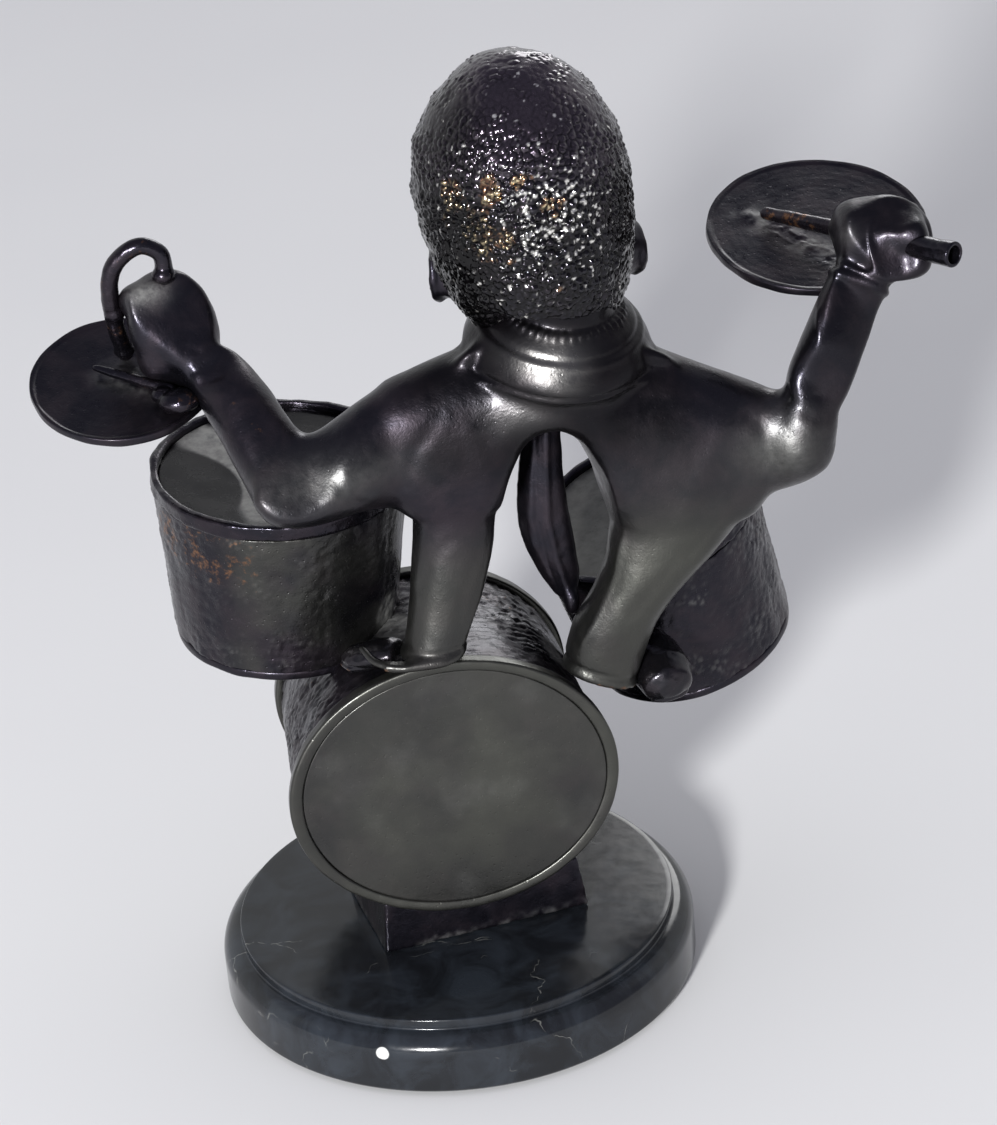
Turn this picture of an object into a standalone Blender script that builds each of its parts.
"""A cast bronze statuette of a drummer, bolted to a turned marble base.

Run with: blender --background --python part.py
Lengths below are millimetres. The drummer faces -Y, +X is the drummer's left, and the
origin is the middle of the felt underneath.
"""

import math

import bmesh
import bpy
from mathutils import Matrix, Vector

MM = 0.001
GAP = 0.3

# Marble base, felt and fixing
BASE_RADIUS = 75.0
BASE_TOP = 23.8
TOP_DISC_RADIUS = 68.8
FELT_RADIUS = 71.0
FELT_THICKNESS = 1.0
STUD_RADIUS = 3.0
BORE_RADIUS = 4.5
COUNTERBORE_RADIUS = 13.0
COUNTERBORE_TOP = 10.0

# Foot block under the bass drum
BLOCK_LENGTH = 67.0
BLOCK_WIDTH = 42.0
BLOCK_TOP = 41.0
BLOCK_CENTRE = (-3.9, 1.1)
BLOCK_TURN = math.radians(8)

# Bass drum: an oval tube lying along Y
DRUM_HEIGHT = 82.3
DRUM_REAR = 32.2
DRUM_FRONT = -41.7
DRUM_HALF_WIDTH = 50.6
DRUM_OVAL = 0.853
DRUM_FRONT_SCALE = 0.925
HOOP_DEPTH = 5.2
HOOP_WIDTH = 4.0
SHELL_INSET = 2.2
SHELL_WALL = 3.0

# Side drums: centre of the top, lean towards +X and +Y, radii, depth
LEFT_DRUM = dict(top=(37.5, -24.0, 172.8), lean=(-3.1, 5.5), radius=39.5, foot=34.2, depth=57.5)
RIGHT_DRUM = dict(top=(-73.0, -26.0, 139.1), lean=(16.0, 8.0), radius=36.5, foot=32.5, depth=55.0)
DRUM_WALL = 2.6
RIM_DEPTH = 5.0
RIM_WIDTH = 2.8
SKIN_DROP = 2.2

# Cymbals: centre, lean towards +Y, radius
LEFT_CYMBAL = dict(centre=(81.4, -12.0, 211.5), lean=(0.0, 18.0), radius=27.2)
RIGHT_CYMBAL = dict(centre=(-130.3, -14.0, 228.1), lean=(0.0, 15.0), radius=33.0)
CYMBAL_THICKNESS = 2.8

# Figure
LEG_SPLIT_LEFT = 172.0
LEG_SPLIT_RIGHT = 158.0
BACK_SEAM = -37.5
ARM_SPLIT_LEFT = 8.0
ARM_SPLIT_RIGHT = -102.0
COLLAR_CENTRE = (-44.3, 15.0, 213.5)
COLLAR_LEAN = (-7.6, 13.0)
NECK_RADIUS = 17.0
HEAD_CENTRE = (-43.5, 3.0, 246.0)
HEAD_RADII = (25.4, 28.0, 35.0)
LEFT_HAND = dict(centre=(63.8, -9.0, 227.0), radii=(12.5, 12.0, 19.0), lean=(9.0, 0.0))
RIGHT_HAND = dict(centre=(-143.0, 20.0, 235.5), radii=(14.0, 11.5, 12.5), lean=(-10.0, 0.0))

BRONZE = (0.030, 0.024, 0.024)
WORN_BRONZE = (0.075, 0.050, 0.032)
MARBLE = (0.018, 0.022, 0.024)
FELT = (0.020, 0.045, 0.030)
STEEL = (0.42, 0.42, 0.41)


def clear_scene():
    for item in list(bpy.data.objects):
        bpy.data.objects.remove(item, do_unlink=True)


def finish(name, colour, roughness, metallic):
    """One Principled material for one part."""
    material = bpy.data.materials.new(name)
    material.use_nodes = True
    shader = material.node_tree.nodes["Principled BSDF"]
    shader.inputs["Base Color"].default_value = (*colour, 1.0)
    shader.inputs["Roughness"].default_value = roughness
    shader.inputs["Metallic"].default_value = metallic
    return material


def bronze(name, colour=BRONZE, roughness=0.32):
    return finish(name, colour, roughness, 1.0)


def add_object(name, bm, material, smooth=True):
    """Turns a mesh in millimetres into a named object in metres."""
    bmesh.ops.recalc_face_normals(bm, faces=bm.faces)
    bmesh.ops.scale(bm, vec=(MM, MM, MM), verts=bm.verts)
    for face in bm.faces:
        face.smooth = smooth and len(face.verts) <= 4
    mesh = bpy.data.meshes.new(name)
    bm.to_mesh(mesh)
    bm.free()
    item = bpy.data.objects.new(name, mesh)
    bpy.context.scene.collection.objects.link(item)
    if material:
        item.data.materials.append(material)
    return item


def carve(item, *cutters):
    """Cuts one part back from its neighbours."""
    for cutter in cutters:
        cutter.hide_render = True
        cutter.display_type = "WIRE"
        modifier = item.modifiers.new("carve", "BOOLEAN")
        modifier.operation = "DIFFERENCE"
        modifier.solver = "EXACT"
        modifier.object = cutter


def leaning(lean):
    """Unit direction of an upright axis leaning by degrees towards +X and +Y."""
    return Vector((math.tan(math.radians(lean[0])), math.tan(math.radians(lean[1])), 1.0)).normalized()


def placed(centre, lean):
    """Matrix that puts local +Z on a leaning axis."""
    turn = Vector((0, 0, 1)).rotation_difference(leaning(lean))
    return Matrix.Translation(centre) @ turn.to_matrix().to_4x4()


def skin_rings(bm, rings, closed_ends=True, loop=False):
    """Joins rings of vertices with quads, and caps the ends."""
    pairs = list(zip(rings, rings[1:]))
    if loop:
        pairs.append((rings[-1], rings[0]))
    for low, high in pairs:
        count = max(len(low), len(high))
        for i in range(count):
            j = (i + 1) % count
            if len(low) == 1:
                bm.faces.new((low[0], high[j], high[i]))
            elif len(high) == 1:
                bm.faces.new((low[i], low[j], high[0]))
            else:
                bm.faces.new((low[i], low[j], high[j], high[i]))
    if closed_ends and not loop:
        for ring in (rings[0], rings[-1]):
            if len(ring) > 2:
                bm.faces.new(ring)


def turned(name, profile, material, matrix=None, segments=36, oval=1.0, loop=False):
    """Lathe work about local Z: profile is (radius, height) points, oval squashes Y."""
    matrix = matrix or Matrix.Identity(4)
    bm = bmesh.new()
    rings = []
    for radius, height in profile:
        count = segments if radius > 0 else 1
        ring = []
        for i in range(count):
            angle = 2 * math.pi * i / segments
            point = Vector((radius * math.cos(angle), oval * radius * math.sin(angle), height))
            ring.append(bm.verts.new(matrix @ point))
        rings.append(ring)
    skin_rings(bm, rings, loop=loop)
    return add_object(name, bm, material)


def ring_points(centre, normal, side, up, count, power=2.0):
    """Superellipse of half-widths side and up, square to normal."""
    normal = Vector(normal).normalized()
    reference = Vector((0, 0, 1)) if abs(normal.z) < 0.9 else Vector((0, 1, 0))
    high = (reference - normal * reference.dot(normal)).normalized()
    across = high.cross(normal)
    points = []
    for i in range(count):
        angle = 2 * math.pi * i / count
        c, s = math.cos(angle), math.sin(angle)
        x = math.copysign(abs(c) ** (2 / power), c) * side
        y = math.copysign(abs(s) ** (2 / power), s) * up
        points.append(Vector(centre) + across * x + high * y)
    return points


def lofted(name, sections, material, count=20, power=2.0, grow=0.0):
    """Skin over sections given as (centre, normal, side, up)."""
    bm = bmesh.new()
    rings = []
    for i, (centre, normal, side, up) in enumerate(sections):
        ahead = (i == len(sections) - 1) - (i == 0)
        centre = Vector(centre) + Vector(normal).normalized() * grow * ahead
        points = ring_points(centre, normal, side + grow, up + grow, count, power)
        rings.append([bm.verts.new(point) for point in points])
    skin_rings(bm, rings)
    return add_object(name, bm, material)


def keep_side(item, point, normal):
    """Trims a solid with a plane, keeping the side the normal points to, and closes the cut."""
    bm = bmesh.new()
    bm.from_mesh(item.data)
    geometry = bm.verts[:] + bm.edges[:] + bm.faces[:]
    cut = bmesh.ops.bisect_plane(
        bm, geom=geometry, plane_co=Vector(point) * MM, plane_no=-Vector(normal), clear_outer=True
    )
    edges = [part for part in cut["geom_cut"] if isinstance(part, bmesh.types.BMEdge)]
    bmesh.ops.holes_fill(bm, edges=edges, sides=0)
    bmesh.ops.recalc_face_normals(bm, faces=bm.faces)
    for face in bm.faces:
        if len(face.verts) > 4:
            face.smooth = False
    bm.to_mesh(item.data)
    bm.free()


def rounded(name, centre, radii, material, matrix=None, shape=None, grow=0.0, around=24, down=14):
    """Closed round form: shape(direction) gives extra millimetres outwards."""
    matrix = matrix or Matrix.Identity(3)
    bm = bmesh.new()
    rings = []
    for i in range(down + 1):
        polar = math.pi * i / down
        ring = []
        for j in range(around if 0 < i < down else 1):
            turn = 2 * math.pi * j / around
            direction = Vector(
                (math.sin(polar) * math.cos(turn), math.sin(polar) * math.sin(turn), math.cos(polar))
            )
            extra = (shape(direction) if shape else 0.0) + grow
            point = Vector([direction[k] * (radii[k] + extra) for k in range(3)])
            ring.append(bm.verts.new(Vector(centre) + matrix @ point))
        rings.append(ring)
    skin_rings(bm, rings)
    return add_object(name, bm, material)


# ---------------------------------------------------------------- base and fixing


def build_base():
    bottom = FELT_THICKNESS + GAP
    shoulder = [
        (TOP_DISC_RADIUS + 6.2 * math.cos(a), 14.4 + 6.0 * math.sin(a))
        for a in (math.radians(22.5 * step) for step in range(5))
    ]
    profile = [
        (COUNTERBORE_RADIUS, bottom),
        (BASE_RADIUS - 1.2, bottom),
        (BASE_RADIUS, bottom + 1.2),
        *shoulder,
        (TOP_DISC_RADIUS, BASE_TOP - 0.8),
        (TOP_DISC_RADIUS - 0.8, BASE_TOP),
        (BORE_RADIUS, BASE_TOP),
        (BORE_RADIUS, COUNTERBORE_TOP),
        (COUNTERBORE_RADIUS, COUNTERBORE_TOP),
    ]
    turned("marble_base", profile, finish("marble", MARBLE, 0.12, 0.0), segments=60, loop=True)
    felt_profile = [(0, 0), (FELT_RADIUS, 0), (FELT_RADIUS, FELT_THICKNESS), (0, FELT_THICKNESS)]
    turned("felt_pad", felt_profile, finish("felt", FELT, 0.95, 0.0))


def build_fixing():
    stud_profile = [(0, 2.0), (STUD_RADIUS, 2.0), (STUD_RADIUS, 33.0), (0, 33.0)]
    turned("fixing_stud", stud_profile, finish("stud_steel", STEEL, 0.35, 1.0), segments=20)
    hole = STUD_RADIUS + GAP
    washer_top = COUNTERBORE_TOP - GAP
    washer = [(hole, washer_top - 1.5), (10.0, washer_top - 1.5), (10.0, washer_top), (hole, washer_top)]
    turned("fixing_washer", washer, finish("washer_steel", STEEL, 0.35, 1.0), segments=24, loop=True)
    nut_top = washer_top - 1.5 - GAP
    bm = bmesh.new()
    rings = []
    for radius, height in ((hole, nut_top - 4.8), (5.8, nut_top - 4.8), (5.8, nut_top), (hole, nut_top)):
        ring = [
            bm.verts.new((radius * math.cos(i * math.pi / 3), radius * math.sin(i * math.pi / 3), height))
            for i in range(6)
        ]
        rings.append(ring)
    skin_rings(bm, rings, loop=True)
    # A six-sided hole needs a slightly larger radius to clear the round stud.
    for vert in bm.verts:
        if math.hypot(vert.co.x, vert.co.y) < 5.0:
            vert.co.x *= 1.16
            vert.co.y *= 1.16
    add_object("fixing_nut", bm, finish("nut_steel", STEEL, 0.35, 1.0), smooth=False)


def build_foot_block():
    bm = bmesh.new()
    turn = Matrix.Translation((*BLOCK_CENTRE, 0)) @ Matrix.Rotation(BLOCK_TURN, 4, "Z")
    rings = []
    for height, draft in ((BASE_TOP + GAP, 0.0), (BASE_TOP + 3.0, 0.4), (BLOCK_TOP, 2.0)):
        half_x = BLOCK_LENGTH / 2 - draft
        half_y = BLOCK_WIDTH / 2 - draft
        corners = ((-half_x, -half_y), (half_x, -half_y), (half_x, half_y), (-half_x, half_y))
        rings.append([bm.verts.new(turn @ Vector((x, y, height))) for x, y in corners])
    skin_rings(bm, rings)
    block = add_object("foot_block", bm, bronze("block_bronze"), smooth=False)
    hole = [(0, 20.0), (STUD_RADIUS + GAP, 20.0), (STUD_RADIUS + GAP, 34.0), (0, 34.0)]
    carve(block, turned("cut_stud_hole", hole, None, segments=20))


# ---------------------------------------------------------------- drums


def drum_scale(y):
    """The bass drum narrows a little towards the front."""
    return 1 + (DRUM_FRONT_SCALE - 1) * (DRUM_REAR - y) / (DRUM_REAR - DRUM_FRONT)


BASS_AXIS = Matrix.Translation((0, 0, DRUM_HEIGHT)) @ Matrix.Rotation(math.radians(90), 4, "X")


def bass_tube(name, material, y_start, y_end, outer, inner):
    """Oval ring about the bass drum's axis; local Z runs towards -Y."""
    ends = [(y_start, drum_scale(y_start)), (y_end, drum_scale(y_end))]
    (a, sa), (b, sb) = ends
    if inner > 0:
        profile = [(inner * sa, -a), (outer * sa, -a), (outer * sb, -b), (inner * sb, -b)]
        return turned(name, profile, material, BASS_AXIS, 48, DRUM_OVAL, loop=True)
    profile = [(0, -a), (outer * sa, -a), (outer * sb, -b), (0, -b)]
    return turned(name, profile, material, BASS_AXIS, 48, DRUM_OVAL)


def bass_clearance():
    """The bass drum's outer form, grown by the fitting gap."""
    return bass_tube("cut_bass_drum", None, DRUM_REAR + 1, DRUM_FRONT - 1, DRUM_HALF_WIDTH + 0.4, 0)


def build_bass_drum():
    inner = DRUM_HALF_WIDTH - HOOP_WIDTH
    shell_outer = DRUM_HALF_WIDTH - SHELL_INSET
    rear_seat = DRUM_REAR - HOOP_DEPTH
    front_seat = DRUM_FRONT + HOOP_DEPTH
    bass_tube("bass_drum_rear_hoop", bronze("rear_hoop_bronze"), DRUM_REAR, rear_seat, DRUM_HALF_WIDTH, inner)
    bass_tube("bass_drum_front_hoop", bronze("front_hoop_bronze"), front_seat, DRUM_FRONT, DRUM_HALF_WIDTH, inner)
    skin = bronze("rear_skin_bronze", (0.055, 0.055, 0.048), 0.42)
    bass_tube("bass_drum_rear_head", skin, DRUM_REAR - 1.2, rear_seat, inner - GAP, 0)
    skin = bronze("front_skin_bronze", (0.055, 0.055, 0.048), 0.42)
    bass_tube("bass_drum_front_head", skin, front_seat, DRUM_FRONT + 1.2, inner - GAP, 0)
    shell = bronze("bass_shell_bronze", WORN_BRONZE, 0.38)
    start, end = rear_seat - GAP, front_seat + GAP
    bass_tube("bass_drum_shell", shell, start, end, shell_outer, shell_outer - SHELL_WALL)


def build_side_drum(side, spec):
    matrix = placed(spec["top"], spec["lean"])
    radius, foot, depth = spec["radius"], spec["foot"], spec["depth"]

    def wall(z):
        return radius - 0.4 + (foot - radius + 0.4) * (-z) / depth

    rim = [
        (radius - RIM_WIDTH, -RIM_DEPTH),
        (radius - 0.4, -RIM_DEPTH),
        (radius, -RIM_DEPTH + 1.0),
        (radius, -1.0),
        (radius - 1.0, 0),
        (radius - RIM_WIDTH + 0.8, 0),
        (radius - RIM_WIDTH, -0.8),
    ]
    turned(f"{side}_drum_rim", rim, bronze(f"{side}_rim_bronze"), matrix, 36, loop=True)
    skin_radius = radius - RIM_WIDTH - GAP
    skin = [(0, -SKIN_DROP), (skin_radius, -SKIN_DROP), (skin_radius, -RIM_DEPTH), (0, -RIM_DEPTH)]
    turned(f"{side}_drum_head", skin, bronze(f"{side}_skin_bronze", (0.07, 0.068, 0.06), 0.45), matrix, 36)
    top, bottom = -RIM_DEPTH - GAP, -depth + 3.0 + GAP
    shell_profile = [
        (wall(bottom) - DRUM_WALL, bottom),
        (wall(bottom), bottom),
        (wall(top), top),
        (wall(top) - DRUM_WALL, top),
    ]
    shell_bronze = bronze(f"{side}_shell_bronze", WORN_BRONZE, 0.38)
    shell = turned(f"{side}_drum_shell", shell_profile, shell_bronze, matrix, 36, loop=True)
    base_profile = [(0, -depth), (foot - 1.0, -depth), (foot, -depth + 1.0), (foot, -depth + 3.0), (0, -depth + 3.0)]
    base = turned(f"{side}_drum_base", base_profile, bronze(f"{side}_base_bronze"), matrix, 36)
    return shell, base


def build_drums():
    build_bass_drum()
    clearance = bass_clearance()
    for side, spec in (("left", LEFT_DRUM), ("right", RIGHT_DRUM)):
        for part in build_side_drum(side, spec):
            carve(part, clearance)


# ---------------------------------------------------------------- cymbals and sticks


def cymbal_profile(radius, grow=0.0):
    half = CYMBAL_THICKNESS / 2 + grow
    edge = radius + grow
    return [
        (0, -half),
        (edge - 1.2, -half),
        (edge, -half + 1.0),
        (edge, half - 1.0),
        (edge - 1.2, half),
        (edge * 0.6, half - 0.7),
        (0, half - 0.2),
    ]


def build_cymbal(name, spec):
    matrix = placed(spec["centre"], spec["lean"])
    turned(name, cymbal_profile(spec["radius"]), bronze(f"{name}_bronze"), matrix, 36)


def cymbal_cutters(spec):
    """The cymbal itself, grown by the gap, and everything below its upper face."""
    matrix = placed(spec["centre"], spec["lean"])
    edge = turned("cut_cymbal", cymbal_profile(spec["radius"], GAP), None, matrix, 36)
    reach = spec["radius"] + 14
    top = CYMBAL_THICKNESS / 2 + GAP
    below = turned("cut_hand_seat", [(0, -16), (reach, -16), (reach, top), (0, top)], None, matrix, 36)
    return edge, below


def rod(name, path, radii, material, grow=0.0, count=14):
    """Round bar along a path of points; grow makes it fatter and longer, for a cutter."""
    points = [Vector(point) for point in path]
    points[0] += (points[0] - points[1]).normalized() * grow
    points[-1] += (points[-1] - points[-2]).normalized() * grow
    sections = []
    for i, point in enumerate(points):
        ahead = points[min(i + 1, len(points) - 1)] - points[max(i - 1, 0)]
        radius = radii[i] if isinstance(radii, (list, tuple)) else radii
        sections.append((point, ahead, radius + grow, radius + grow))
    return lofted(name, sections, material, count)


RIGHT_STICK_PATH = ((-115.2, -18.5, 233.3), (-143.3, 19.0, 236.2), (-157.5, 41.0, 236.0))
RIGHT_STICK_RADII = (1.9, 3.0, 3.5)
LEFT_STICK_PATH = ((88.5, -14.5, 215.9), (78.0, -7.5, 213.6), (68.0, -1.0, 211.6))
LEFT_STICK_RADII = (1.6, 1.8, 1.9)
LOOP_PATH = (
    (79.0, -19.0, 217.6),
    (80.6, -15.0, 226.0),
    (81.4, -12.0, 236.0),
    (80.6, -10.5, 245.0),
    (77.0, -9.6, 251.0),
    (71.0, -9.2, 254.0),
    (66.0, -9.0, 251.6),
    (64.8, -9.0, 248.0),
    (65.4, -9.0, 243.0),
)
LOOP_RADIUS = 2.8


def hand_shape(direction):
    """Four shallow finger ridges across the far side of a fist."""
    facing = max(0.0, -direction.y)
    return 0.9 * facing * math.cos(14.0 * direction.z)


def build_hand(name, spec, material, grow=0.0):
    matrix = placed((0, 0, 0), spec["lean"]).to_3x3()
    return rounded(name, spec["centre"], spec["radii"], material, matrix, hand_shape, grow, 20, 14)


def build_hands_and_cymbals():
    """Hands, what they hold, and the cutters that clear the forearms."""
    build_cymbal("left_cymbal", LEFT_CYMBAL)
    build_cymbal("right_cymbal", RIGHT_CYMBAL)
    left_cut, seat_cut = cymbal_cutters(LEFT_CYMBAL)
    stick = bronze("stick_bronze", WORN_BRONZE)
    rod("right_stick", RIGHT_STICK_PATH, RIGHT_STICK_RADII, stick)
    rod("left_stick", LEFT_STICK_PATH, LEFT_STICK_RADII, bronze("left_stick_bronze", WORN_BRONZE))
    rod("cymbal_loop", LOOP_PATH, LOOP_RADIUS, bronze("loop_bronze"))
    left_hand = build_hand("left_hand", LEFT_HAND, bronze("left_hand_bronze"))
    right_hand = build_hand("right_hand", RIGHT_HAND, bronze("right_hand_bronze"))
    stick_cut = rod("cut_left_stick", LEFT_STICK_PATH, LEFT_STICK_RADII, None, GAP)
    loop_cut = rod("cut_loop", LOOP_PATH, LOOP_RADIUS, None, GAP)
    carve(left_hand, seat_cut, stick_cut, loop_cut)
    carve(right_hand, rod("cut_right_stick", RIGHT_STICK_PATH, RIGHT_STICK_RADII, None, GAP))
    left_hand_cut = build_hand("cut_left_hand", LEFT_HAND, None, GAP)
    right_hand_cut = build_hand("cut_right_hand", RIGHT_HAND, None, GAP)
    return left_cut, left_hand_cut, right_hand_cut


# ---------------------------------------------------------------- figure


def upright_sections(rows):
    """Rows of (height, centre x, centre y, half-width, half-depth) to loft sections."""
    return [((x, y, z), (0, 0, 1), half_x, half_y) for z, x, y, half_x, half_y in rows]


def sideways_sections(rows):
    """Rows of (x, lowest z, highest z, centre y, half-depth) to loft sections."""
    return [((x, y, (low + high) / 2), (1, 0, 0), depth, (high - low) / 2) for x, low, high, y, depth in rows]


LEFT_LEG_ROWS = (
    (126.6, 2.8, 25.5, 8.4, 9.4),
    (133.0, -0.2, 24.8, 9.4, 10.0),
    (145.0, -4.2, 23.5, 10.9, 10.6),
    (160.0, -7.6, 22.5, 12.0, 11.4),
    (LEG_SPLIT_LEFT - GAP, -9.4, 22.0, 12.2, 12.0),
)
RIGHT_HEM_NORMAL = (-0.42, 0.0, 1.0)
RIGHT_LEG_ROWS = (
    (108.6, -48.4, 22.5, 11.2, 9.0),
    (118.0, -51.0, 23.0, 12.2, 10.0),
    (127.0, -54.0, 24.0, 12.8, 10.6),
    (136.0, -60.2, 24.8, 13.0, 10.8),
    (147.0, -68.4, 25.0, 16.2, 11.4),
    (LEG_SPLIT_RIGHT - GAP, -74.8, 24.5, 20.6, 12.0),
)
LEFT_JACKET_ROWS = (
    (BACK_SEAM + GAP / 2, 195.0, 210.5, 17.0, 21.5),
    (-33.0, 193.0, 212.5, 17.2, 21.0),
    (-29.0, 188.5, 215.0, 17.6, 20.0),
    (-25.5, 180.0, 217.5, 18.0, 19.0),
    (-22.0, 168.0, 218.5, 18.4, 18.0),
    (-16.0, 158.0, 218.8, 19.0, 17.0),
    (-8.0, 158.0, 217.2, 19.6, 16.0),
    (0.0, 164.0, 214.8, 20.0, 15.0),
    (ARM_SPLIT_LEFT, 174.5, 212.4, 20.2, 13.6),
)
RIGHT_JACKET_ROWS = (
    (ARM_SPLIT_RIGHT, 162.0, 196.6, 23.5, 12.6),
    (-96.0, 153.0, 199.6, 23.2, 13.4),
    (-86.0, 144.0, 204.6, 22.6, 15.0),
    (-74.0, 142.0, 211.0, 21.2, 17.0),
    (-62.0, 146.0, 213.6, 19.4, 18.6),
    (-56.0, 158.0, 213.6, 18.6, 19.4),
    (-52.0, 177.0, 213.0, 18.0, 20.2),
    (-47.0, 188.5, 212.0, 17.4, 21.0),
    (-42.0, 193.5, 211.0, 17.0, 21.4),
    (BACK_SEAM - GAP / 2, 195.0, 210.5, 17.0, 21.5),
)
LEFT_UPPER_ARM = (
    ((ARM_SPLIT_LEFT + GAP, 20.2, 193.0), (1, 0, 0), 13.6, 18.6),
    ((19.0, 25.0, 191.6), (0.95, 0.3, 0), 13.0, 14.8),
    ((30.0, 30.0, 190.2), (0.9, 0.44, 0), 12.4, 12.4),
    ((39.5, 34.0, 189.8), (0.86, 0.5, -0.05), 11.2, 11.6),
    ((46.0, 37.5, 189.6), (0.86, 0.5, -0.05), 7.6, 8.6),
    ((49.2, 39.2, 189.2), (0.86, 0.5, -0.05), 2.4, 2.8),
)
LEFT_FOREARM = (
    ((39.5, 31.0, 189.0), (0.22, -0.72, 0.66), 10.6, 10.6),
    ((43.6, 20.5, 198.0), (0.25, -0.72, 0.65), 11.2, 10.6),
    ((48.6, 9.5, 207.0), (0.28, -0.74, 0.60), 10.4, 10.0),
    ((53.0, 2.0, 213.0), (0.35, -0.76, 0.55), 9.4, 9.2),
    ((56.5, -2.5, 217.0), (0.40, -0.76, 0.50), 8.6, 8.6),
)
RIGHT_UPPER_ARM = (
    ((ARM_SPLIT_RIGHT - GAP, 23.5, 179.3), (-1, 0, 0), 12.6, 17.3),
    ((-107.6, 27.0, 179.6), (-0.96, 0.25, 0.1), 12.0, 15.0),
    ((-113.2, 30.5, 180.2), (-0.90, 0.38, 0.15), 11.4, 12.4),
    ((-118.2, 33.0, 181.0), (-0.88, 0.40, 0.15), 8.6, 9.6),
    ((-121.4, 34.8, 181.6), (-0.88, 0.42, 0.15), 2.8, 3.2),
)
RIGHT_FOREARM = (
    ((-112.6, 28.6, 181.0), (-0.35, 0.20, 0.91), 7.6, 7.6),
    ((-114.6, 31.0, 189.0), (-0.42, 0.05, 0.90), 10.4, 10.0),
    ((-117.0, 31.6, 196.0), (-0.43, -0.12, 0.89), 10.6, 10.2),
    ((-122.8, 30.2, 208.0), (-0.45, -0.14, 0.88), 10.6, 9.8),
    ((-129.4, 28.0, 220.0), (-0.48, -0.20, 0.85), 9.8, 9.0),
    ((-134.8, 25.0, 228.0), (-0.50, -0.30, 0.80), 9.2, 8.6),
)


def build_legs():
    """The legs, and the forms that cut the shoes back from the hems."""
    lofted("left_leg", upright_sections(LEFT_LEG_ROWS), bronze("left_leg_bronze"), power=2.3)
    sections = upright_sections(RIGHT_LEG_ROWS)
    # The right hem slants down outwards, over the round of the bass drum.
    sections[0] = (sections[0][0], RIGHT_HEM_NORMAL, *sections[0][2:])
    lofted("right_leg", sections, bronze("right_leg_bronze"), power=2.3)
    left_cut = lofted("cut_left_leg", upright_sections(LEFT_LEG_ROWS), None, power=2.3, grow=GAP)
    right_cut = lofted("cut_right_leg", sections, None, power=2.3, grow=GAP)
    return left_cut, right_cut


def build_shoes(left_hem, right_hem):
    left = (
        ((12.6, 25.4, 128.6), (0.86, -0.46, -0.2), 5.4, 2.6),
        ((15.0, 24.2, 128.0), (0.86, -0.46, -0.2), 6.2, 3.8),
        ((20.5, 21.2, 126.4), (0.86, -0.46, -0.2), 6.2, 4.0),
        ((25.6, 18.4, 124.6), (0.86, -0.46, -0.2), 5.0, 3.4),
        ((28.2, 17.0, 123.6), (0.86, -0.46, -0.2), 2.0, 1.6),
    )
    right = (
        ((-68.4, 31.0, 103.6), (0.1, -0.95, 0.25), 3.4, 3.0),
        ((-68.2, 29.0, 104.2), (0.1, -0.95, 0.25), 7.4, 6.4),
        ((-67.4, 23.0, 106.0), (0.1, -0.95, 0.25), 9.0, 7.6),
        ((-65.8, 14.0, 108.6), (0.1, -0.95, 0.25), 8.6, 6.8),
        ((-64.0, 8.0, 110.2), (0.1, -0.95, 0.25), 6.4, 5.0),
        ((-63.2, 4.6, 111.0), (0.1, -0.95, 0.25), 2.6, 2.2),
    )
    carve(lofted("left_shoe", left, bronze("left_shoe_bronze")), left_hem)
    carve(lofted("right_shoe", right, bronze("right_shoe_bronze")), right_hem)


def collar_profile(grow=0.0):
    inner = NECK_RADIUS + GAP - grow
    return [
        (inner, -3.5 - grow),
        (25.0 + grow, -3.5 - grow),
        (27.0 + grow, 0.5),
        (25.6 + grow, 4.0),
        (22.0 + grow, 9.0),
        (20.0 + grow, 11.6 + grow),
        (inner, 12.4 + grow),
    ]


def build_jacket():
    collar_axis = placed(COLLAR_CENTRE, COLLAR_LEAN)
    left = lofted("left_jacket", sideways_sections(LEFT_JACKET_ROWS), bronze("left_jacket_bronze"), 24, 2.3)
    right = lofted("right_jacket", sideways_sections(RIGHT_JACKET_ROWS), bronze("right_jacket_bronze"), 24, 2.3)
    keep_side(left, (0, 0, LEG_SPLIT_LEFT), (0, 0, 1))
    keep_side(right, (0, 0, LEG_SPLIT_RIGHT), (0, 0, 1))
    well = [(0, -3.5 - GAP)] + collar_profile(GAP)[1:-1] + [(0, 12.4 + GAP)]
    collar_well = turned("cut_collar", well, None, collar_axis, 36)
    carve(left, collar_well)
    carve(right, collar_well)
    return turned("collar", collar_profile(), bronze("collar_bronze", roughness=0.22), collar_axis, 36, loop=True)


def build_arms(left_cymbal_cut, left_hand_cut, right_hand_cut):
    lofted("left_upper_arm", LEFT_UPPER_ARM, bronze("left_upper_arm_bronze"))
    lofted("right_upper_arm", RIGHT_UPPER_ARM, bronze("right_upper_arm_bronze"))
    left = lofted("left_forearm", LEFT_FOREARM, bronze("left_forearm_bronze"))
    right = lofted("right_forearm", RIGHT_FOREARM, bronze("right_forearm_bronze"))
    left_elbow_cut = lofted("cut_left_upper_arm", LEFT_UPPER_ARM, None, grow=GAP)
    right_elbow_cut = lofted("cut_right_upper_arm", RIGHT_UPPER_ARM, None, grow=GAP)
    carve(left, left_elbow_cut, left_hand_cut, left_cymbal_cut)
    carve(right, right_elbow_cut, right_hand_cut)


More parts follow.
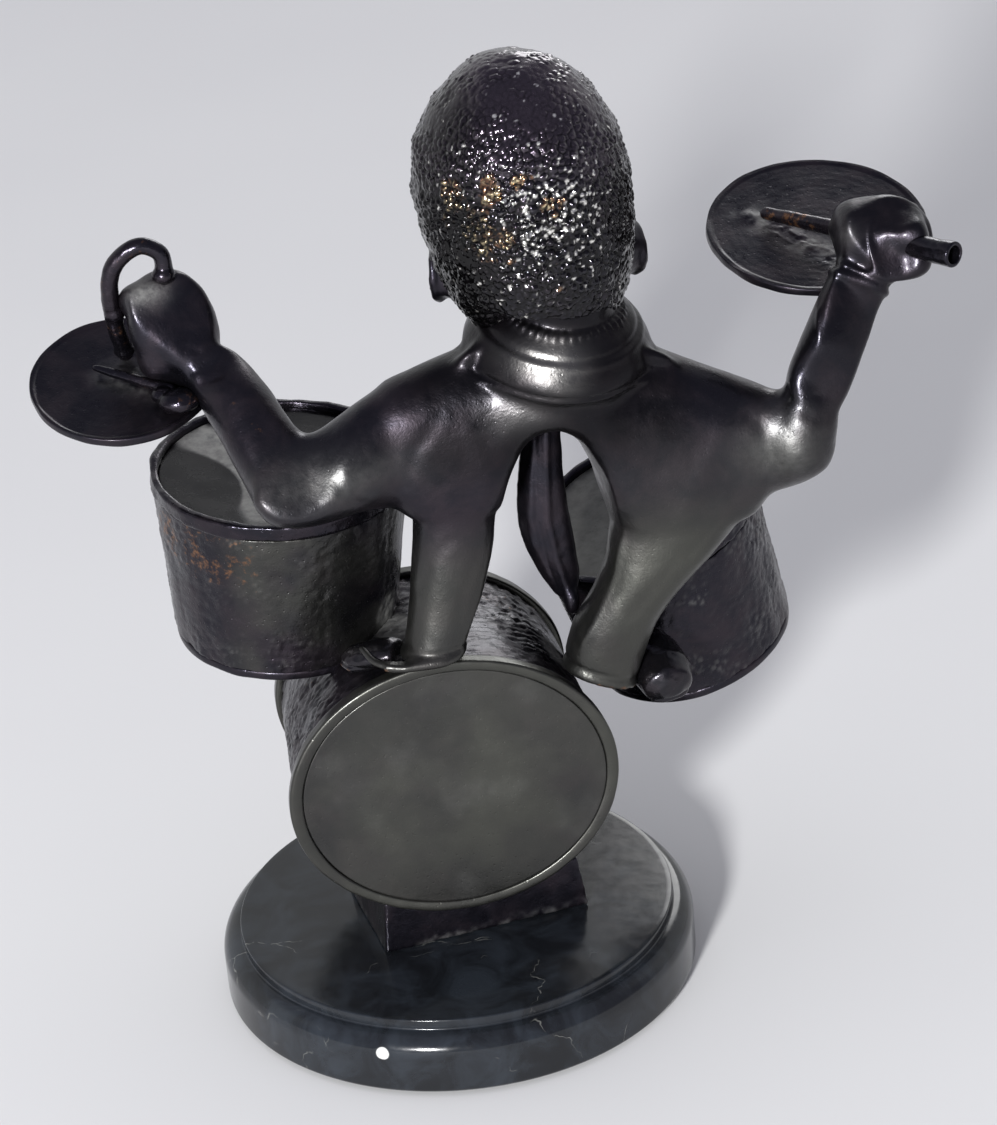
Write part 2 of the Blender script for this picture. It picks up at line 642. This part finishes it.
def build_tie():
    rows = (
        (127.6, -43.4, 13.4, 1.4, 1.5),
        (131.5, -42.4, 13.8, 2.4, 2.0),
        (140.0, -40.8, 14.0, 5.2, 2.8),
        (151.0, -38.2, 14.0, 7.0, 3.0),
        (162.0, -37.0, 14.0, 7.0, 3.0),
        (176.0, -37.8, 14.0, 5.6, 3.0),
        (188.0, -39.0, 14.0, 4.6, 3.0),
        (192.4, -39.0, 14.0, 4.2, 2.8),
    )
    lofted("tie", upright_sections(rows), bronze("tie_bronze"), 20)


def face_shape(direction):
    """Ears, nose, brow, lips and chin as soft bumps, in millimetres."""

    def bump(target, spread, height):
        angle = direction.angle(Vector(target).normalized())
        return height * math.exp(-((angle / math.radians(spread)) ** 2))

    ears = bump((1, 0.12, -0.24), 13, 9.4) + bump((-1, 0.12, -0.20), 13, 7.8)
    nose = bump((0, -1, -0.36), 8, 4.0) + bump((0, -1, -0.14), 7, 1.6)
    brow = bump((0.28, -1, 0.2), 11, 1.2) + bump((-0.28, -1, 0.2), 11, 1.2)
    lips = bump((0, -1, -0.75), 9, 1.6)
    chin = bump((0, -1, -1.35), 13, 2.6)
    return ears + nose + brow + lips + chin


HAIR_ROWS = (
    (222.5, -43.6, 14.0, 18.6, 18.0),
    (226.0, -42.8, 13.0, 22.0, 21.4),
    (233.0, -41.6, 11.0, 26.4, 26.2),
    (241.0, -40.8, 9.8, 28.8, 29.8),
    (252.0, -39.8, 9.2, 30.8, 32.4),
    (266.0, -38.8, 9.0, 31.6, 32.8),
    (280.0, -38.4, 9.0, 29.2, 30.2),
    (290.0, -38.4, 8.8, 23.8, 25.2),
    (297.0, -38.6, 8.6, 17.0, 18.2),
    (301.4, -38.6, 8.6, 9.6, 10.4),
    (303.0, -38.6, 8.6, 3.2, 3.4),
)


def build_head(collar):
    rounded("head", HEAD_CENTRE, HEAD_RADII, bronze("face_bronze"), shape=face_shape, around=30, down=22)
    head_cut = rounded("cut_head", HEAD_CENTRE, HEAD_RADII, None, shape=face_shape, grow=4 * GAP, around=30, down=22)
    hair = lofted("hair", upright_sections(HAIR_ROWS), bronze("hair_bronze", WORN_BRONZE, 0.28), 28)
    # The hairline: everything below and ahead of this slanting plane is face.
    keep_side(hair, (0, -12.0, 254.0), (0, 0.80, 0.60))
    carve(hair, head_cut)
    hair_cut = lofted("cut_hair", upright_sections(HAIR_ROWS), None, 28, grow=GAP)
    seat = leaning(COLLAR_LEAN)
    foot = Vector(COLLAR_CENTRE) - seat * 3.3
    neck_sections = (
        (foot, seat, NECK_RADIUS - 0.6, NECK_RADIUS - 0.6),
        (foot + seat * 4.0, seat, NECK_RADIUS - 0.2, NECK_RADIUS - 0.2),
        ((-44.6, 14.4, 225.0), (0.0, -0.05, 1), NECK_RADIUS - 1.4, NECK_RADIUS - 1.4),
        ((-43.8, 8.0, 238.0), (0, -0.3, 1), NECK_RADIUS - 2.0, NECK_RADIUS - 2.0),
    )
    neck = lofted("neck", neck_sections, bronze("neck_bronze"), 24)
    carve(neck, head_cut, hair_cut)
    carve(collar, head_cut, hair_cut)


def main():
    clear_scene()
    build_base()
    build_fixing()
    build_foot_block()
    build_drums()
    cuts = build_hands_and_cymbals()
    hems = build_legs()
    build_shoes(*hems)
    collar = build_jacket()
    build_arms(*cuts)
    build_tie()
    build_head(collar)


main()
